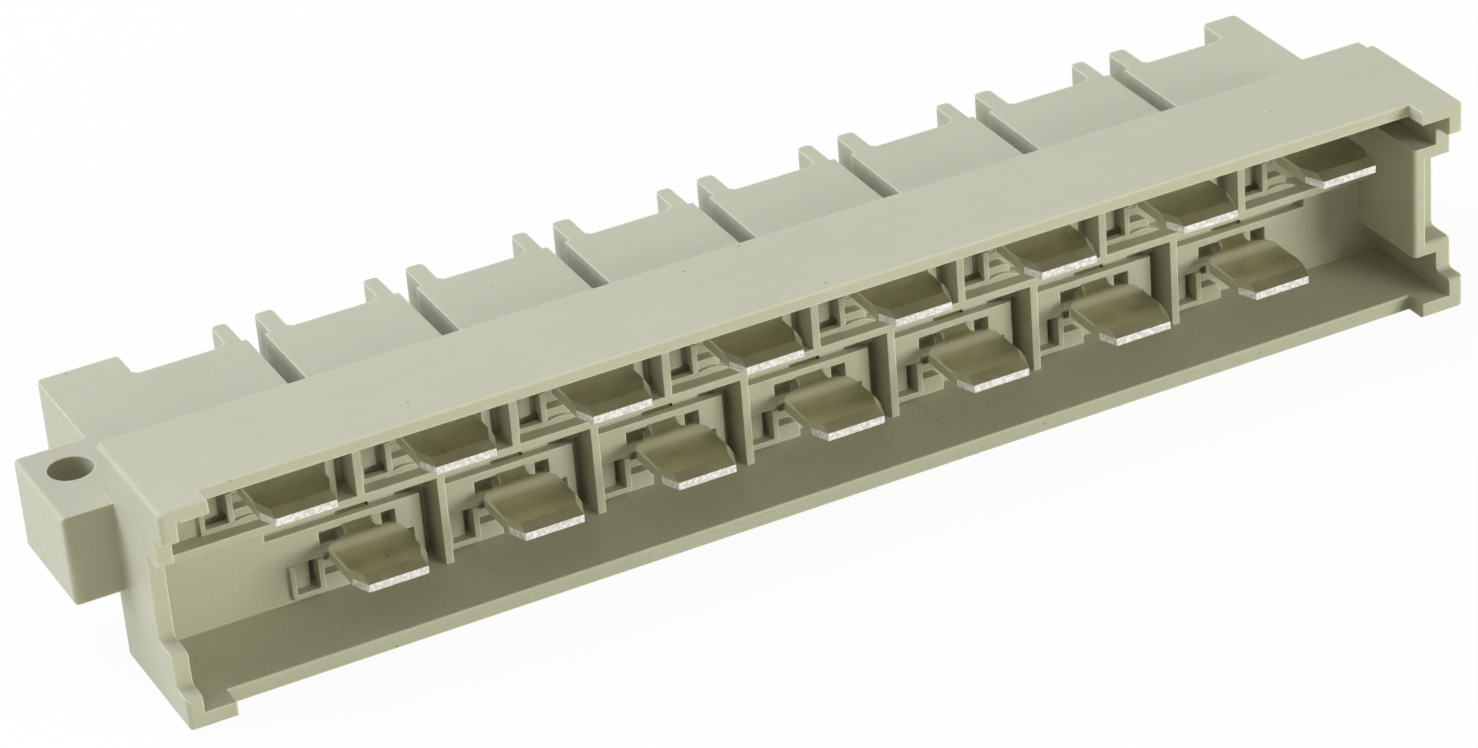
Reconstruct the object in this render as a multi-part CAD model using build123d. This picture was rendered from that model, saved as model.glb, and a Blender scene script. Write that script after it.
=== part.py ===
"""Board half of a two-part power connector for a plug-in rack board.

One grey-green moulding carries two staggered rows of flat blade contacts. The
shroud round the blades faces -Y, the solder tails leave through the open
underside behind it, and an ear at each end takes a screw down to the board.
Sizes below count Y from the front of the shroud's corner lugs and Z from its
underside. The finished pieces are then moved to the part's own frame, whose
origin lies midway between the two screw holes on the face that meets the board.
"""

import math
import os

from build123d import *

os.makedirs("parts", exist_ok=True)

# Contact rows, all in millimetres
pitch = 10.16
upper_count = 8
field_shift = 1.27
end_margin = 8.89
row_rise = 6.29

# Blade contacts, bent from one strip
strip_thickness = 0.77
blade_width = 4.85
blade_front = 2.2
blade_under = 3.88
tip_width = 3.86
tip_taper = 1.3
tip_face = 0.5
tip_bevel = 0.85
corner_bevel = 0.35
side_round = 0.15
shoulder_front = 7.0
shoulder_run = 0.45
knee_width = 4.2
neck_run = 0.3
neck_width = 1.9
neck_behind_shroud = 0.2
flare_run = 0.5
strip_width = 3.8
shoulder_round = 0.3
blade_bend_radius = 2.0
strip_bend_radius = 2.0
jog_front = 7.66
lower_jog_run = 2.6
upper_jog_run = 1.65
strip_above_board = 0.5
tail_gap = 1.28
tail_bend_radius = 1.0
tail_below_board = 2.9
tail_point = 0.2
lower_tail_behind_shroud = 6.07
tail_row_spacing = 5.08
contact_clearance = 0.1

# Shroud round the blades
hole_outside_shroud = 0.65
shroud_height = 14.6
end_wall = 1.0
floor_wall = 1.05
roof_wall = 0.85
back_front = 8.1
back_wall = 1.8
long_wall_setback = 1.5
lug_length = 3.0
lug_step_height = 2.2
key_notch_margin = 4.35
key_notch_front = 3.5
step_round = 0.35
outer_round = 0.3
rim_round = 0.12

# Guide slab at the +X end of the mating cavity
slab_inset = 2.65
slab_skin = 0.8
slab_under = 3.55
slab_height = 7.65
slab_round = 0.3

# Shelf and ribs that part the blades
shelf_top = 7.55
shelf_thickness = 0.5
rib_front = 6.8
rib_thickness = 0.5

# One cell of the back wall, measured from its contact and from the row's floor
window_left = 2.5
window_right = 2.46
window_under = 2.35
window_over = 4.1
window_depth = 0.6
window_hole_under = 2.9
window_hole_right = 1.75
ledge_gap = 1.4
ledge_left = 5.89
ledge_right = 5.45
ledge_depth = 0.7
deep_recess = 1.3
wedge_left = 2.8
wedge_skin = 0.15
wedge_drop = 0.75
side_slot_left = 4.1
side_slot_right = 4.84
apron_right = 3.55
apron_height = 2.45
apron_depth = 0.8
sill_right = 0.95
sill_height = 1.1
sill_round = 0.45
pocket_left = 4.35
pocket_right = 2.85
pocket_under = 0.5
pocket_over = 2.45
pocket_depth = 0.5
pocket_lip = 0.3
pocket_lip_proud = 0.25
lip_above_floor = 0.17
lip_round = 0.35
slit_width = 0.38
under_hole_left = 2.35
under_hole_right = 1.45
under_hole_under = 1.6
under_hole_over = 2.15
foot_hollow_height = 0.8
foot_arch_left = 3.1
foot_arch_right = 0.4
foot_arch_rise = 0.4
foot_arch_proud = 0.3

# Body behind the shroud
body_inset = 1.3
board_plane = 5.4
body_height = 5.87
cover_wall = 1.0
slot_width = 1.22
slot_mouth_widening = 0.32
left_wall_offset = 1.92
right_wall_offset = 2.15
cover_past_tail = 0.365
prong_length = 2.7
prong_round = 0.35
notch_chamfer = 0.54
notch_round = 0.3
bay_partition = 1.2
cross_wall_gap = 0.845
cross_wall = 0.8

# Mounting ears
ear_past_hole = 2.55
ear_front_behind_lug = 8.25
ear_depth = 8.05
hole_behind_ear_front = 5.18
hole_radius = 1.4
ear_round = 0.25

# Places worked out from the sizes above
overshoot = 1.0
edge_reach = 0.01
mount_spacing = (upper_count - 1) * pitch + 2 * end_margin
hole_x = mount_spacing / 2
shroud_half = hole_x - hole_outside_shroud
cavity_half = shroud_half - end_wall
body_half = shroud_half - body_inset
slab_face = shroud_half - slab_inset
shroud_back = back_front + back_wall
shelf_under = shelf_top - shelf_thickness
body_top = board_plane + body_height
chamber_top = body_top - cover_wall
lower_tail_y = shroud_back + lower_tail_behind_shroud
upper_tail_y = lower_tail_y + tail_row_spacing
cover_back = upper_tail_y + strip_thickness / 2 + cover_past_tail
prong_tip = cover_back + prong_length
cross_wall_front = lower_tail_y + strip_thickness / 2 + cross_wall_gap
cross_wall_back = cross_wall_front + cross_wall
ear_back = ear_front_behind_lug + ear_depth
hole_y = ear_front_behind_lug + hole_behind_ear_front
lower_strip_under = board_plane + strip_above_board
web_under = lower_strip_under + strip_thickness + contact_clearance
upper_strip_under = chamber_top - contact_clearance - strip_thickness
tail_end = board_plane - tail_below_board

first_upper = field_shift - (upper_count - 1) * pitch / 2
upper_places = [first_upper + pitch * number for number in range(upper_count)]
lower_places = [place + pitch / 2 for place in upper_places[:-1]]
to_board_frame = Pos(0, -hole_y, -board_plane)


def block(x0, x1, y0, y1, z0, z1):
    """A box between two corners."""
    size = Box(x1 - x0, y1 - y0, z1 - z0, align=(Align.MIN, Align.MIN, Align.MIN))
    return Pos(x0, y0, z0) * size


def strip_side(points, thickness, radii):
    """Side view of a bent strip whose centre line has the given corners."""
    headings = []
    for (y0, z0), (y1, z1) in zip(points, points[1:]):
        run = math.hypot(y1 - y0, z1 - z0)
        headings.append(((y1 - y0) / run, (z1 - z0) / run))
    edges = []
    for side in (1, -1):
        corners = []
        corner_radii = []
        for number, (y, z) in enumerate(points):
            before = headings[max(number - 1, 0)]
            after = headings[min(number, len(headings) - 1)]
            share = thickness / 2 / (1 + before[0] * after[0] + before[1] * after[1])
            shift_y = -(before[1] + after[1]) * share * side
            shift_z = (before[0] + after[0]) * share * side
            corners.append((0, y + shift_y, z + shift_z))
            if 0 < number < len(points) - 1:
                turn = before[0] * after[1] - before[1] * after[0]
                towards_side = 1 if turn * side > 0 else -1
                corner_radii.append(radii[number - 1] - towards_side * thickness / 2)
        edges.append((corners, corner_radii))
    (top, top_radii), (under, under_radii) = edges
    outline = [
        FilletPolyline(*top, radius=top_radii),
        Line(top[-1], under[-1]),
        FilletPolyline(*under, radius=under_radii),
        Line(under[0], top[0]),
    ]
    return make_face(outline)


def strip_route(blade_z, strip_z, jog_run, tail_y, tail_z):
    """Corners of a contact's centre line, from the blade's tip to the tail's end."""
    blade_mid = blade_z + strip_thickness / 2
    strip_mid = strip_z + strip_thickness / 2
    return [
        (blade_front, blade_mid),
        (jog_front, blade_mid),
        (jog_front + jog_run, strip_mid),
        (tail_y, strip_mid),
        (tail_y, tail_z),
    ]


def upper_route():
    return strip_route(
        blade_under + row_rise, upper_strip_under, upper_jog_run, upper_tail_y, tail_end
    )


def lower_route():
    return strip_route(
        blade_under, lower_strip_under, lower_jog_run, lower_tail_y, tail_end
    )


def contact_plan(route_back):
    """Outline of a contact seen from above: blade, narrow neck and strip."""
    blade_half = blade_width / 2
    neck_half = neck_width / 2
    strip_half = strip_width / 2
    knee_back = shoulder_front + shoulder_run
    neck_back = shroud_back + neck_behind_shroud
    flare_back = neck_back + flare_run
    right = [
        (tip_width / 2, blade_front),
        (blade_half, blade_front + tip_taper),
        (blade_half, shoulder_front),
        (knee_width / 2, knee_back),
        (neck_half, knee_back + neck_run),
        (neck_half, neck_back),
        (strip_half, flare_back),
        (strip_half, route_back),
    ]
    left = [(-x, y) for x, y in reversed(right)]
    plan = make_face(Polyline(*right, *left, close=True))
    bends = plan.vertices().filter_by_position(
        Axis.Y, shoulder_front - edge_reach, flare_back + edge_reach
    )
    return fillet(bends, shoulder_round)


def bevel_wedge(reach, drop, half_length):
    """What a bevel takes off a blade, for an edge along X at the origin."""
    slope = drop / reach
    outline = Polyline(
        (0, -overshoot, strip_thickness - drop - overshoot * slope),
        (0, reach, strip_thickness),
        (0, reach, strip_thickness + overshoot),
        (0, -overshoot, strip_thickness + overshoot),
        close=True,
    )
    return extrude(make_face(outline), half_length, dir=(1, 0, 0), both=True)


def contact(blade_z, route):
    """One stamped contact: blade, neck, strip and two solder tails."""
    tail_y = route[-1][0]
    radii = [blade_bend_radius, strip_bend_radius, tail_bend_radius]
    side = strip_side(route, strip_thickness, radii)
    shape = extrude(side, blade_width, dir=(1, 0, 0), both=True)
    route_back = tail_y + strip_thickness
    shape &= Pos(0, 0, tail_end - overshoot) * extrude(
        contact_plan(route_back), shroud_height + overshoot
    )
    half_gap = tail_gap / 2
    fork_top = route[-2][1] - tail_bend_radius
    shape -= block(
        -half_gap, half_gap,
        tail_y - strip_thickness, tail_y + strip_thickness,
        tail_end - overshoot, fork_top,
    )
    tail_edges = shape.edges().filter_by_position(
        Axis.Z, tail_end - edge_reach, tail_end + edge_reach
    )
    shape = chamfer(tail_edges, tail_point)
    tip_drop = strip_thickness - tip_face
    shape -= Pos(0, blade_front, blade_z) * bevel_wedge(tip_bevel, tip_drop, blade_width)
    corner_angle = math.degrees(math.atan2(tip_taper, (blade_width - tip_width) / 2))
    corner_x = (blade_width + tip_width) / 4
    corner_y = blade_front + tip_taper / 2
    blade_top = blade_z + strip_thickness
    top_edges = shape.edges().filter_by(Axis.Y).filter_by_position(
        Axis.Z, blade_top - edge_reach, blade_top + edge_reach
    )
    shape = fillet(top_edges, side_round)
    for side_sign in (1, -1):
        wedge = bevel_wedge(corner_bevel, tip_drop, blade_width)
        shape -= Pos(side_sign * corner_x, corner_y, blade_z) * Rot(
            0, 0, side_sign * corner_angle
        ) * wedge
    return shape


def passage(place, route):
    """The way through the back wall for one contact, with its clearance."""
    side = strip_side(
        route[:-1],
        strip_thickness + 2 * contact_clearance,
        [blade_bend_radius, strip_bend_radius],
    )
    half = neck_width / 2 + contact_clearance
    way = extrude(side, half, dir=(1, 0, 0), both=True)
    way &= block(-half, half, back_front, shroud_back + overshoot, 0, shroud_height)
    return Pos(place, 0, 0) * way


def cell_cuts(place, ground, floor, shelf, left_end, right_end, has_slot):
    """Hollows of the back wall round one contact, each open to the front."""
    front = back_front - overshoot
    ledge_floor = shelf - ledge_gap
    neck_side = neck_width / 2 + contact_clearance
    sill = block(
        place - window_left - sill_round, place - sill_right,
        front, back_front + apron_depth,
        ground, floor + sill_height,
    )
    sill_edge = sill.edges().filter_by(Axis.Y).sort_by(Axis.Z)[-2:].sort_by(Axis.X)[-1]
    cuts = [
        block(
            place - window_left, place + window_right,
            front, back_front + window_depth,
            floor + window_under, floor + window_over,
        ),
        block(
            place - window_left, place - neck_side,
            front, back_front + deep_recess,
            floor + window_hole_under, floor + window_over,
        ),
        block(
            place + window_hole_right, place + window_right,
            front, back_front + deep_recess,
            floor + window_hole_under, floor + window_over,
        ),
        block(
            left_end, right_end,
            front, back_front + ledge_depth,
            ledge_floor, shelf,
        ),
        block(
            place - window_left, place + apron_right,
            front, back_front + apron_depth,
            ground, floor + apron_height,
        )
        - fillet(sill_edge, sill_round),
        block(
            place - pocket_left, place - pocket_right,
            front, back_front + pocket_depth,
            floor + pocket_under, floor + pocket_over,
        ),
        block(
            place - pocket_right - slit_width, place - pocket_right,
            front, back_front + deep_recess,
            floor + pocket_under, floor + pocket_over,
        ),
        block(
            place - under_hole_left, place - under_hole_right,
            front, back_front + deep_recess,
            floor + under_hole_under, floor + under_hole_over,
        ),
    ]
    if has_slot:
        cuts.append(
            block(
                place + side_slot_left, place + side_slot_right,
                front, back_front + deep_recess,
                ground, ledge_floor,
            )
        )
        wedge = Polyline(
            (place + wedge_left, back_front + ledge_depth),
            (right_end, back_front + wedge_skin),
            (right_end, back_front + deep_recess),
            (place + wedge_left, back_front + deep_recess),
            close=True,
        )
        wedge_under = ledge_floor - wedge_drop
        cuts.append(Pos(0, 0, wedge_under) * extrude(make_face(wedge), 2 * wedge_drop))
    return cuts


def cell_lip(place, foot, floor):
    """Raised rim at the sides and foot of a cell's pocket."""
    pocket_top = floor + pocket_over
    rim = block(
        place - pocket_left - pocket_lip, place - window_left,
        back_front - pocket_lip_proud, back_front + pocket_lip_proud,
        foot, pocket_top,
    )
    return rim - block(
        place - pocket_left, place - pocket_right,
        back_front - overshoot, back_front + overshoot,
        floor + pocket_under, pocket_top + overshoot,
    )


def round_foot(lip):
    """A pocket's rim with its two lower corners rounded."""
    corners = lip.edges().filter_by(Axis.Y).sort_by(Axis.Z)[:2]
    return fillet(corners, lip_round)


def foot_hollow(place, ground, floor):
    """Hollow under an upper cell's pocket, down to the shelf."""
    return block(
        place - pocket_left, place - window_left,
        back_front - overshoot, back_front + deep_recess,
        ground, floor + foot_hollow_height,
    )


def foot_arch(place, ground):
    """Low arch that stands on the shelf at the foot of an upper cell."""
    half = (foot_arch_left - foot_arch_right) / 2
    radius = (half**2 + foot_arch_rise**2) / (2 * foot_arch_rise)
    middle = place - (foot_arch_left + foot_arch_right) / 2
    drum = Pos(middle, back_front, ground + foot_arch_rise - radius) * Rot(90, 0, 0)
    return drum * Cylinder(radius, 2 * foot_arch_proud) & block(
        middle - half, middle + half,
        back_front - foot_arch_proud, back_front + foot_arch_proud,
        ground - shelf_thickness / 2, ground + foot_arch_rise + overshoot,
    )


def row_cells(places, ground, lip_foot, floor, shelf, left_limit, right_limit):
    """Cuts, lips and ribs of one row of cells."""
    cuts = []
    lips = []
    ribs = []
    rib_half = rib_thickness / 2
    for place in places:
        is_first = place == places[0]
        is_last = place == places[-1]
        left_end = place - pitch / 2 + rib_half
        right_end = place + pitch / 2 - rib_half
        if is_first:
            left_end = max(place - ledge_left, left_limit)
        if is_last:
            right_end = min(place + ledge_right, right_limit)
        else:
            rib_place = place + pitch / 2
            ribs.append(
                block(
                    rib_place - rib_half, rib_place + rib_half,
                    rib_front, back_front + ledge_depth,
                    ground - overshoot / 2, shelf + overshoot / 2,
                )
            )
        cuts += cell_cuts(place, ground, floor, shelf, left_end, right_end, not is_last)
        lips.append(cell_lip(place, lip_foot, floor))
    return cuts, lips, ribs


def rounded_step(front, back, low, high):
    """Side view of a step in an end wall, with its corners rounded."""
    return make_face(
        FilletPolyline(
            (0, front - overshoot, low - overshoot),
            (0, front, low - overshoot),
            (0, front, low),
            (0, back, low),
            (0, back, high),
            (0, front, high),
            (0, front, high + overshoot),
            (0, front - overshoot, high + overshoot),
            radius=step_round,
            close=True,
        )
    )


def shroud_shell():
    """Outer shroud with its corner lugs, stepped end walls and open front."""
    shell = block(-shroud_half, shroud_half, 0, shroud_back, 0, shroud_height)
    shell = fillet(shell.edges(), outer_round)
    lug_inner = shroud_half - lug_length
    roof_under = shroud_height - roof_wall
    shell -= block(-cavity_half, cavity_half, -overshoot, back_front, floor_wall, roof_under)
    shell -= block(
        -lug_inner, lug_inner,
        -overshoot, long_wall_setback,
        -overshoot, shroud_height + overshoot,
    )
    step = rounded_step(
        0, long_wall_setback, lug_step_height, shroud_height - lug_step_height
    )
    shell -= extrude(step, shroud_half + overshoot, dir=(1, 0, 0), both=True)
    rims = shell.edges().filter_by(Axis.X).filter_by_position(
        Axis.Y, long_wall_setback - edge_reach, long_wall_setback + edge_reach
    )
    long_rims = rims.filter_by(lambda edge: edge.length > lug_inner)
    return fillet(long_rims, rim_round)


def guide_slab():
    """Slab that keys the mating half, along the cavity's +X end wall."""
    slab = block(
        slab_face, shroud_half - end_wall / 2,
        long_wall_setback, back_front + overshoot,
        slab_under, slab_under + slab_height,
    )
    front_edge = slab.edges().filter_by(Axis.Z).sort_by(Axis.Y)[:2].sort_by(Axis.X)[0]
    return fillet(front_edge, slab_round)


def key_notches():
    """Deeper step in the front of both end walls, which leaves the slab's skin."""
    inner = slab_face + slab_skin
    width = shroud_half + overshoot - inner
    step = rounded_step(
        long_wall_setback, key_notch_front,
        key_notch_margin, shroud_height - key_notch_margin,
    )
    notch = extrude(step, width, dir=(1, 0, 0))
    return [Pos(inner, 0, 0) * notch, Pos(-inner - width, 0, 0) * notch]


def rear_body():
    """Chambers behind the shroud, parted by slots and open at the rear."""
    top = body_top + overshoot
    under = board_plane - overshoot
    tip = prong_tip + overshoot
    body = block(
        -body_half, body_half,
        shroud_back - back_wall / 2, prong_tip,
        board_plane, body_top,
    )
    notch_depth = notch_chamfer * 2 / 3
    for place in upper_places:
        left = place - pitch / 2 + right_wall_offset
        right = place + pitch / 2 - left_wall_offset
        notch = make_face(
            Polyline(
                (left, tip),
                (left, cover_back + notch_round),
                (left + notch_round, cover_back),
                (right - notch_chamfer, cover_back),
                (right, cover_back + notch_depth),
                (right, tip),
                close=True,
            )
        )
        body -= [
            block(left, right, shroud_back, cover_back, shelf_top, chamber_top),
            block(left, right, cross_wall_back, cover_back, under, chamber_top),
            Pos(0, 0, under) * extrude(notch, top - under),
        ]
    slot_half = slot_width / 2
    mouth_half = slot_half + slot_mouth_widening
    bay_half = (pitch - bay_partition) / 2
    for place in lower_places:
        body -= [
            block(place - slot_half, place + slot_half, shroud_back, tip, shelf_top, top),
            block(place - slot_half, place + slot_half, cross_wall_back, tip, under, top),
            block(place - mouth_half, place + mouth_half, cover_back, tip, under, top),
            block(
                place - bay_half, place + bay_half,
                shroud_back, cross_wall_front,
                under, web_under,
            ),
        ]
    tips = body.edges().filter_by(Axis.Z).filter_by_position(
        Axis.Y, prong_tip - edge_reach, prong_tip + edge_reach
    )
    return fillet(tips, prong_round)


def ear(side):
    """Mounting ear at one end, with its screw hole."""
    outer = hole_x + ear_past_hole
    lobe = block(body_half - overshoot, outer, ear_front_behind_lug, ear_back, board_plane, body_top)
    outer_face = lobe.faces().sort_by(Axis.X)[-1]
    lobe = fillet(outer_face.edges(), ear_round)
    drill = Cylinder(hole_radius, body_height + 2 * overshoot)
    lobe -= Pos(hole_x, hole_y, board_plane + body_height / 2) * drill
    return lobe if side > 0 else mirror(lobe, about=Plane.YZ)


def housing():
    """The whole moulding."""
    roof_under = shroud_height - roof_wall
    lower_cuts, lower_lips, lower_ribs = row_cells(
        lower_places, floor_wall, floor_wall + lip_above_floor, floor_wall,
        shelf_under, -cavity_half, slab_face,
    )
    lower_lips = [round_foot(lip) for lip in lower_lips]
    upper_cuts, upper_lips, upper_ribs = row_cells(
        upper_places, shelf_top, shelf_top, floor_wall + row_rise,
        roof_under, -cavity_half, slab_face,
    )
    upper_cuts += [foot_hollow(place, shelf_top, floor_wall + row_rise) for place in upper_places]
    body = shroud_shell() + guide_slab()
    body -= key_notches()
    body -= lower_cuts + upper_cuts
    shelf = block(
        -cavity_half - end_wall / 2, cavity_half + end_wall / 2,
        rib_front, back_front + ledge_depth,
        shelf_under, shelf_top,
    )
    body += [shelf, rear_body(), ear(1), ear(-1)]
    body += lower_ribs + upper_ribs + lower_lips + upper_lips
    body += [foot_arch(place, shelf_top) for place in upper_places]
    passages = [passage(place, upper_route()) for place in upper_places]
    passages += [passage(place, lower_route()) for place in lower_places]
    return body - passages


def write_piece(shape, node):
    """Write one piece in the part's own frame."""
    export_step(to_board_frame * shape, f"parts/{node}.step")


write_piece(housing(), "housing")
upper_contact = contact(blade_under + row_rise, upper_route())
for number, place in enumerate(upper_places, start=1):
    write_piece(Pos(place, 0, 0) * upper_contact, f"upper_contact_{number}")
lower_contact = contact(blade_under, lower_route())
for number, place in enumerate(lower_places, start=1):
    write_piece(Pos(place, 0, 0) * lower_contact, f"lower_contact_{number}")
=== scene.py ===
import bpy
from mathutils import Matrix, Vector


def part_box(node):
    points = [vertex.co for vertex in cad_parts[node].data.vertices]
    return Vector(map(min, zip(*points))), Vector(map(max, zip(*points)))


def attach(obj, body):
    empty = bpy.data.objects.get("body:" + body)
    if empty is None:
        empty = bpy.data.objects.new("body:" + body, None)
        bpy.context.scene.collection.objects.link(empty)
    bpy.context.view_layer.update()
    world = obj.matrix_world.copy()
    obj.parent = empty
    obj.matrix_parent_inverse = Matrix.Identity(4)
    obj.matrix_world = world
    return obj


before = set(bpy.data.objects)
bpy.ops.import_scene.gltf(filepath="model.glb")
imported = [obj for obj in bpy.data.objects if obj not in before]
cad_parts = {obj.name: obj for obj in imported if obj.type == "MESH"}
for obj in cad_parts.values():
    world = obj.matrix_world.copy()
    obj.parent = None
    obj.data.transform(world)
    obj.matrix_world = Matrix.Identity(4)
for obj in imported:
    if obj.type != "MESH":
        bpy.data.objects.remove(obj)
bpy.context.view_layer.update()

# Camera. The photograph looks down on the open face of the shroud from beside
# the plain end, from about 30 cm away with a long lens.
camera_place = Vector((-0.11424, -0.24201, 0.15052))
camera_look = Vector((0.35170, 0.78893, -0.50388)).normalized()
camera_up = Vector((0.28880, 0.42057, 0.86007))
camera_right = camera_look.cross(camera_up).normalized()
camera_up = camera_right.cross(camera_look)
camera_data = bpy.data.cameras.new("camera")
camera_data.lens = 120.30
camera_data.sensor_width = 36.0
camera_data.sensor_fit = "HORIZONTAL"
camera_data.shift_x = 0.0499
camera_data.shift_y = 0.0353
camera_data.clip_start = 0.01
camera_data.clip_end = 20.0
camera = bpy.data.objects.new("camera", camera_data)
turn = Matrix((camera_right, camera_up, -camera_look)).transposed()
camera.matrix_world = Matrix.Translation(camera_place) @ turn.to_4x4()
bpy.context.scene.collection.objects.link(camera)
bpy.context.scene.camera = camera
bpy.context.scene.view_settings.view_transform = "Standard"

# Table. A pale matt sheet under the part, which takes its shadow and shows
# white to the camera and in the plating.
table_width = 6.0
table_gap = 0.00002
table_colour = (0.80, 0.79, 0.70, 1)
plain_white = (1, 1, 1, 1)
white_share = 0.95


def worked_out(tree, operation, first, second):
    """One value worked out from two, each a socket or a number."""
    step = tree.nodes.new("ShaderNodeMath")
    step.operation = operation
    for socket, value in zip(step.inputs, (first, second)):
        if isinstance(value, float):
            socket.default_value = value
        else:
            tree.links.new(value, socket)
    return step.outputs[0]


def seen_plainly(tree):
    """Mask of the rays that see a surface straight, mirrored or through glass."""
    path = tree.nodes.new("ShaderNodeLightPath")
    straight = path.outputs["Is Camera Ray"]
    mirrored = path.outputs["Is Glossy Ray"]
    through = path.outputs["Is Transmission Ray"]
    return worked_out(tree, "MAXIMUM", worked_out(tree, "MAXIMUM", straight, mirrored), through)


housing_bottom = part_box("housing")[0][2]
bpy.ops.object.select_all(action="DESELECT")
bpy.ops.mesh.primitive_plane_add(size=table_width, location=(0, 0, housing_bottom - table_gap))
table = bpy.context.object
table.name = "table"
table_material = bpy.data.materials.new("pale_table")
table_material.use_nodes = True
tree = table_material.node_tree
tree.nodes.clear()
paint = tree.nodes.new("ShaderNodeBsdfDiffuse")
paint.inputs["Color"].default_value = table_colour
glow = tree.nodes.new("ShaderNodeEmission")
glow.inputs["Color"].default_value = plain_white
glow.inputs["Strength"].default_value = 1.0
mix = tree.nodes.new("ShaderNodeMixShader")
white_mask = worked_out(tree, "MULTIPLY", seen_plainly(tree), white_share)
tree.links.new(white_mask, mix.inputs["Fac"])
tree.links.new(paint.outputs[0], mix.inputs[1])
tree.links.new(glow.outputs[0], mix.inputs[2])
tree.links.new(mix.outputs[0], tree.nodes.new("ShaderNodeOutputMaterial").inputs["Surface"])
table.data.materials.append(table_material)

# Room. An even pale surround that lights the part from every side, and shows
# plain white behind it.
room_colour = (1.0, 0.985, 0.84, 1)
room_strength = 0.29
world = bpy.data.worlds.new("pale_room")
bpy.context.scene.world = world
world.use_nodes = True
tree = world.node_tree
tree.nodes.clear()
room = tree.nodes.new("ShaderNodeBackground")
room.inputs["Color"].default_value = room_colour
room.inputs["Strength"].default_value = room_strength
white = tree.nodes.new("ShaderNodeBackground")
white.inputs["Color"].default_value = plain_white
white.inputs["Strength"].default_value = 1.0
mix = tree.nodes.new("ShaderNodeMixShader")
tree.links.new(seen_plainly(tree), mix.inputs["Fac"])
tree.links.new(room.outputs[0], mix.inputs[1])
tree.links.new(white.outputs[0], mix.inputs[2])
tree.links.new(mix.outputs[0], tree.nodes.new("ShaderNodeOutputWorld").inputs["Surface"])

# Lamps. One broad soft box hangs behind and over the part, so the roof of the
# shroud shades its floor. Another stands beyond the plain end, and a third, low
# in front and beyond the keyed end, fills the cavity and is mirrored in nothing.
daylight = (0.940, 0.965, 1.14)
fill_light = (0.955, 0.965, 0.96)


def add_lamp(name, place, size, power, colour, mirrored):
    """A square soft box that faces the part."""
    lamp_data = bpy.data.lights.new(name, "AREA")
    lamp_data.shape = "SQUARE"
    lamp_data.size = size
    lamp_data.energy = power
    lamp_data.color = colour
    lamp = bpy.data.objects.new(name, lamp_data)
    lamp.location = place
    lamp.rotation_euler = (-Vector(place)).to_track_quat("-Z", "Y").to_euler()
    lamp.visible_glossy = mirrored
    bpy.context.scene.collection.objects.link(lamp)


add_lamp("overhead_lamp", (-0.20, 0.25, 0.50), 0.45, 2.75, daylight, True)
add_lamp("plain_end_lamp", (-0.72, 0.21, 0.25), 0.45, 2.65, daylight, True)
add_lamp("keyed_end_lamp", (0.45, -0.60, 0.13), 0.35, 4.9, fill_light, False)

# Fine grain. Moulded and rolled skins share one effect: a small roughness of
# the surface, with patches that are a little more or less dull.
grain_group = bpy.data.node_groups.new("skin_grain", "ShaderNodeTree")
for name, way, kind in (
    ("Vector", "INPUT", "NodeSocketVector"),
    ("Scale", "INPUT", "NodeSocketFloat"),
    ("Patch Scale", "INPUT", "NodeSocketFloat"),
    ("Height", "OUTPUT", "NodeSocketFloat"),
    ("Patches", "OUTPUT", "NodeSocketFloat"),
):
    grain_group.interface.new_socket(name, in_out=way, socket_type=kind)
entry = grain_group.nodes.new("NodeGroupInput")
fine = grain_group.nodes.new("ShaderNodeTexNoise")
fine.inputs["Detail"].default_value = 3.0
fine.inputs["Roughness"].default_value = 0.6
patches = grain_group.nodes.new("ShaderNodeTexNoise")
patches.inputs["Detail"].default_value = 4.0
leave = grain_group.nodes.new("NodeGroupOutput")
for noise, scale, result in ((fine, "Scale", "Height"), (patches, "Patch Scale", "Patches")):
    grain_group.links.new(entry.outputs["Vector"], noise.inputs["Vector"])
    grain_group.links.new(entry.outputs[scale], noise.inputs["Scale"])
    grain_group.links.new(noise.outputs["Fac"], leave.inputs[result])


def place_grain(tree, place, scale, patch_scale):
    """The fine grain put into a material, at that material's own scales."""
    grain = tree.nodes.new("ShaderNodeGroup")
    grain.node_tree = grain_group
    grain.inputs["Scale"].default_value = scale
    grain.inputs["Patch Scale"].default_value = patch_scale
    tree.links.new(place, grain.inputs["Vector"])
    return grain


# Housing. One moulding of glass-filled polyester in a pale grey-green. It has a
# dull satin skin with faint flow marks and few dark specks, and lets a little
# light into its thin edges. Its edges carry a painted highlight, lighter and
# yellower than the faces.
housing_colour = (0.527, 0.526, 0.396, 1)
housing_dark = (0.465, 0.463, 0.335, 1)
# Colour of the painted highlight on the moulding's edges.
housing_edge_highlight = (0.78, 0.78, 0.59, 1)
speck_colour = (0.20, 0.20, 0.13, 1)
moulded_grain_scale = 3200.0
moulded_patch_scale = 90.0
speck_scale = 500.0
speck_core = 0.030
speck_rim = 0.055
speckless_share = 0.55
flow_scale = 160.0
flow_narrowing = 9.0
flow_share = 0.42
edge_softness = 0.00012
edge_highlight_share = 0.90


def ramp(tree, value, start, end, low=0.0, high=1.0, shape="LINEAR"):
    """A value carried over from one range to another."""
    carried = tree.nodes.new("ShaderNodeMapRange")
    carried.interpolation_type = shape
    carried.inputs["From Min"].default_value = start
    carried.inputs["From Max"].default_value = end
    carried.inputs["To Min"].default_value = low
    carried.inputs["To Max"].default_value = high
    tree.links.new(value, carried.inputs["Value"])
    return carried.outputs[0]


def blend(tree, share, first, second):
    """A colour between two, each a socket or a fixed colour."""
    blended = tree.nodes.new("ShaderNodeMix")
    blended.data_type = "RGBA"
    for socket, colour in zip(blended.inputs[6:8], (first, second)):
        if isinstance(colour, tuple):
            socket.default_value = colour
        else:
            tree.links.new(colour, socket)
    tree.links.new(share, blended.inputs["Factor"])
    return blended.outputs[2]


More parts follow.
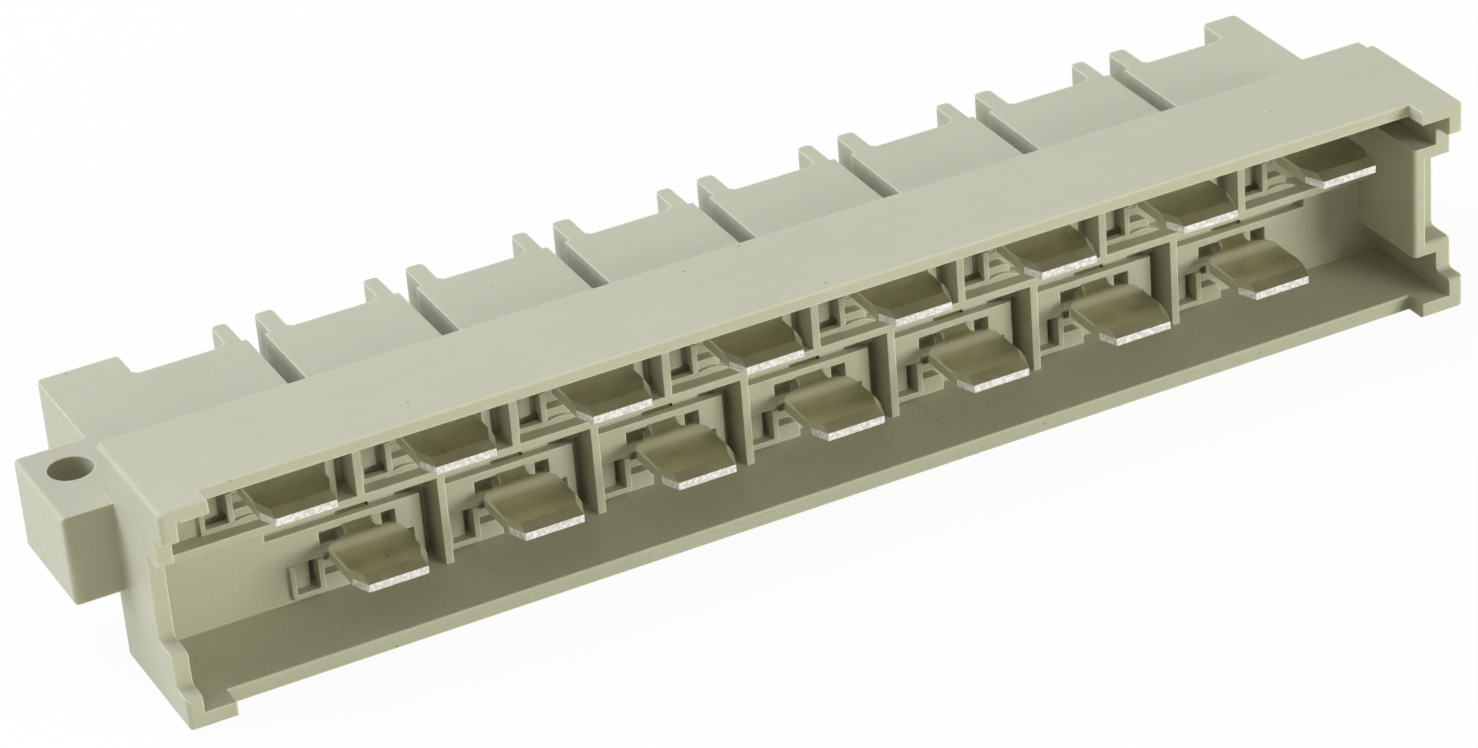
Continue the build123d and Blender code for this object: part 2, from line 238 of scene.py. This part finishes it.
housing_material = bpy.data.materials.new("grey_green_moulding")
housing_material.use_nodes = True
tree = housing_material.node_tree
shader = tree.nodes["Principled BSDF"]
place = tree.nodes.new("ShaderNodeTexCoord").outputs["Object"]
grain = place_grain(tree, place, moulded_grain_scale, moulded_patch_scale)
colour = blend(tree, grain.outputs["Patches"], housing_dark, housing_colour)
cells = tree.nodes.new("ShaderNodeTexVoronoi")
cells.inputs["Scale"].default_value = speck_scale
tree.links.new(place, cells.inputs["Vector"])
cell_draw = tree.nodes.new("ShaderNodeSeparateColor")
tree.links.new(cells.outputs["Color"], cell_draw.inputs[0])
chosen = worked_out(tree, "GREATER_THAN", cell_draw.outputs[0], speckless_share)
spot = ramp(tree, cells.outputs["Distance"], speck_core, speck_rim, 1.0, 0.0)
colour = blend(tree, worked_out(tree, "MULTIPLY", spot, chosen), colour, speck_colour)
stretch = tree.nodes.new("ShaderNodeMapping")
stretch.inputs["Scale"].default_value = (1.0, flow_narrowing, flow_narrowing)
tree.links.new(place, stretch.inputs["Vector"])
flow = tree.nodes.new("ShaderNodeTexNoise")
flow.inputs["Scale"].default_value = flow_scale
flow.inputs["Detail"].default_value = 5.0
tree.links.new(stretch.outputs[0], flow.inputs["Vector"])
flow_mask = ramp(tree, flow.outputs["Fac"], 0.35, 0.75, high=flow_share)
colour = blend(tree, flow_mask, colour, housing_dark)
# Painted highlight: at every edge, where the softened normal parts from the true one, the
# colour turns lighter and yellower.
soft_edge = tree.nodes.new("ShaderNodeBevel")
soft_edge.samples = 4
soft_edge.inputs["Radius"].default_value = edge_softness
facing = tree.nodes.new("ShaderNodeNewGeometry")
agreement = tree.nodes.new("ShaderNodeVectorMath")
agreement.operation = "DOT_PRODUCT"
tree.links.new(soft_edge.outputs["Normal"], agreement.inputs[0])
tree.links.new(facing.outputs["Normal"], agreement.inputs[1])
edge_highlight_mask = ramp(tree, agreement.outputs["Value"], 0.995, 0.96, high=edge_highlight_share)
tree.links.new(blend(tree, edge_highlight_mask, colour, housing_edge_highlight), shader.inputs["Base Color"])
bump = tree.nodes.new("ShaderNodeBump")
bump.inputs["Strength"].default_value = 0.6
bump.inputs["Distance"].default_value = 0.00004
tree.links.new(grain.outputs["Height"], bump.inputs["Height"])
tree.links.new(soft_edge.outputs["Normal"], bump.inputs["Normal"])
tree.links.new(bump.outputs["Normal"], shader.inputs["Normal"])
sheen = ramp(tree, flow.outputs["Fac"], 0.0, 1.0, 0.36, 0.50)
tree.links.new(sheen, shader.inputs["Roughness"])
shader.inputs["Specular IOR Level"].default_value = 0.2
shader.inputs["Subsurface Weight"].default_value = 0.35
shader.inputs["Subsurface Radius"].default_value = (1.0, 0.9, 0.35)
shader.inputs["Subsurface Scale"].default_value = 0.0005
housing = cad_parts["housing"]
housing.data.materials.clear()
housing.data.materials.append(housing_material)

# Core lines. The cavity is formed by a row of steel cores, and where two cores
# meet, a hair-fine raised line is left along the floor beside each lower contact.
# The lines are coloured lighter than the floor, a painted highlight.
# Colour of the painted highlight on the core lines.
line_highlight_colour = (0.70, 0.70, 0.54, 1)
line_patch_scale = 600.0
line_width = 0.00006
line_top_share = 0.4
line_height = 0.00001
line_side_offset = 0.0031
line_front = -0.01080
line_back = -0.00530
floor_top = -0.00435
upward = 0.9
lower_low, lower_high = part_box("lower_contact_1")
second_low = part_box("lower_contact_2")[0]
lower_pitch = second_low[0] - lower_low[0]
lower_count = sum(name.startswith("lower_contact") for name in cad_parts)
first_place = (lower_low[0] + lower_high[0]) / 2
bpy.ops.object.select_all(action="DESELECT")
bpy.ops.mesh.primitive_cube_add(
    size=1.0,
    location=(first_place - line_side_offset, (line_front + line_back) / 2, floor_top),
    scale=(line_width, line_back - line_front, 2 * line_height),
)
core_lines = bpy.context.object
core_lines.name = "core_lines"
bpy.ops.object.mode_set(mode="EDIT")
bpy.ops.mesh.select_all(action="DESELECT")
bpy.ops.object.mode_set(mode="OBJECT")
for face in core_lines.data.polygons:
    face.select = face.normal.z > upward
bpy.ops.object.mode_set(mode="EDIT")
bpy.ops.transform.resize(value=(line_top_share, 1.0, 1.0))
bpy.ops.object.mode_set(mode="OBJECT")
bpy.ops.object.transform_apply(location=True, rotation=True, scale=True)
for count, offset in ((2, 2 * line_side_offset), (lower_count, lower_pitch)):
    repeat = core_lines.modifiers.new("repeat", "ARRAY")
    repeat.use_relative_offset = False
    repeat.use_constant_offset = True
    repeat.constant_offset_displace = (offset, 0, 0)
    repeat.count = count
    bpy.ops.object.modifier_apply(modifier=repeat.name)
# Painted highlight: the lines blend from the moulding's colour towards a lighter one.
line_material = bpy.data.materials.new("core_line_painted_highlight")
line_material.use_nodes = True
tree = line_material.node_tree
shader = tree.nodes["Principled BSDF"]
place = tree.nodes.new("ShaderNodeTexCoord").outputs["Object"]
grain = place_grain(tree, place, moulded_grain_scale, line_patch_scale)
colour = blend(tree, grain.outputs["Patches"], housing_colour, line_highlight_colour)
tree.links.new(colour, shader.inputs["Base Color"])
shader.inputs["Roughness"].default_value = 0.35
core_lines.data.materials.append(line_material)
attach(core_lines, "root")

# Contacts. Each is stamped from copper alloy strip, bent to shape and plated;
# the sheared faces are rougher and brighter than the rolled ones. The bend and
# the tip bevel are rougher and carry a painted highlight, and the rounded long
# edges carry a painted highlight too.
# The plating's tan tint is partly its own colour and partly a painted reflection of the
# grey-green moulding.
rolled_light = (0.84, 0.80, 0.62, 1)
rolled_dark = (0.56, 0.53, 0.39, 1)
sheared_light = (0.97, 0.96, 0.92, 1)
sheared_dark = (0.74, 0.73, 0.66, 1)
side_colour = (0.66, 0.64, 0.50, 1)
# Colour of the painted highlight on the rounded long edges.
rounded_edge_highlight = (0.88, 0.87, 0.78, 1)
# Colour of the painted highlight on the bend and the tip bevel.
bend_highlight_colour = (0.98, 0.96, 0.82, 1)
corners_back_y = -0.00970
bevel_back_y = -0.01036
bend_front_y = -0.00760
bend_middle_y = -0.00680
bend_back_y = -0.00640
bend_end_y = -0.00590
rounded_turn = 0.2
side_turn = 0.97
forward_turn = -0.33
rolled_grain_scale = 5200.0
rolled_patch_scale = 700.0
torn_grain_scale = 4200.0
torn_height = 2.5
bevel_share = 0.12
worked_dullness = 0.36
contact_material = bpy.data.materials.new("plated_strip")
contact_material.use_nodes = True
tree = contact_material.node_tree
shader = tree.nodes["Principled BSDF"]
shader.inputs["Metallic"].default_value = 1.0
place = tree.nodes.new("ShaderNodeTexCoord").outputs["Object"]
grain = place_grain(tree, place, rolled_grain_scale, rolled_patch_scale)
along = tree.nodes.new("ShaderNodeSeparateXYZ")
tree.links.new(place, along.inputs[0])
facing = tree.nodes.new("ShaderNodeSeparateXYZ")
tree.links.new(tree.nodes.new("ShaderNodeNewGeometry").outputs["True Normal"], facing.inputs[0])


def contact_band(start, end):
    """Mask that rises from 0 to 1 between two places along the contacts."""
    return ramp(tree, along.outputs["Y"], start, end, shape="SMOOTHSTEP")


bevel_mask = contact_band(bevel_back_y + 0.00006, bevel_back_y - 0.00010)
bend_rise = contact_band(bend_front_y, bend_middle_y)
bend_fall = contact_band(bend_end_y, bend_back_y)
bend_mask = worked_out(tree, "MULTIPLY", bend_rise, bend_fall)
sideways = worked_out(tree, "ABSOLUTE", facing.outputs["X"], 0.0)
# Painted highlight on faces turned part way to the side: the rounded long edges and the corner
# facets.
rounded_edge_highlight_mask = worked_out(tree, "GREATER_THAN", sideways, rounded_turn)
side_mask = worked_out(tree, "GREATER_THAN", sideways, side_turn)
forward_mask = worked_out(tree, "LESS_THAN", facing.outputs["Y"], forward_turn)
before_corners = contact_band(corners_back_y + 0.0001, corners_back_y)
tip_mask = worked_out(tree, "MULTIPLY", forward_mask, before_corners)
sheared_mask = worked_out(tree, "MAXIMUM", tip_mask, side_mask)
# Painted highlight: a little of the tip bevel and all of the bend take the highlight colour,
# and the same mask adds roughness.
bend_bevel_highlight_mask = worked_out(tree, "MULTIPLY", bevel_mask, bevel_share)
bend_bevel_highlight_mask = worked_out(tree, "MAXIMUM", bend_bevel_highlight_mask, bend_mask)
worked_mask = worked_out(tree, "MAXIMUM", bend_bevel_highlight_mask, sheared_mask)
torn = tree.nodes.new("ShaderNodeTexNoise")
torn.inputs["Scale"].default_value = torn_grain_scale
torn.inputs["Detail"].default_value = 2.0
tree.links.new(place, torn.inputs["Vector"])
torn_mask = ramp(tree, torn.outputs["Fac"], 0.40, 0.62)
sheared_colour = blend(tree, torn_mask, sheared_dark, sheared_light)
colour = blend(tree, grain.outputs["Patches"], rolled_dark, rolled_light)
colour = blend(tree, bend_bevel_highlight_mask, colour, bend_highlight_colour)
colour = blend(tree, rounded_edge_highlight_mask, colour, rounded_edge_highlight)
colour = blend(tree, side_mask, colour, side_colour)
colour = blend(tree, tip_mask, colour, sheared_colour)
tree.links.new(colour, shader.inputs["Base Color"])
dullness = ramp(tree, grain.outputs["Patches"], 0.0, 1.0, 0.22, 0.38)
added_dullness = worked_out(tree, "MULTIPLY", worked_mask, worked_dullness)
dullness = worked_out(tree, "ADD", dullness, added_dullness)
tree.links.new(dullness, shader.inputs["Roughness"])
bump = tree.nodes.new("ShaderNodeBump")
bump.inputs["Strength"].default_value = 0.35
bump.inputs["Distance"].default_value = 0.00002
torn_bump = worked_out(tree, "MULTIPLY", torn.outputs["Fac"], torn_height)
torn_bump = worked_out(tree, "MULTIPLY", torn_bump, sheared_mask)
height = worked_out(tree, "ADD", grain.outputs["Height"], torn_bump)
tree.links.new(height, bump.inputs["Height"])
tree.links.new(bump.outputs["Normal"], shader.inputs["Normal"])
for name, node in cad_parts.items():
    if "contact" in name:
        node.data.materials.clear()
        node.data.materials.append(contact_material)
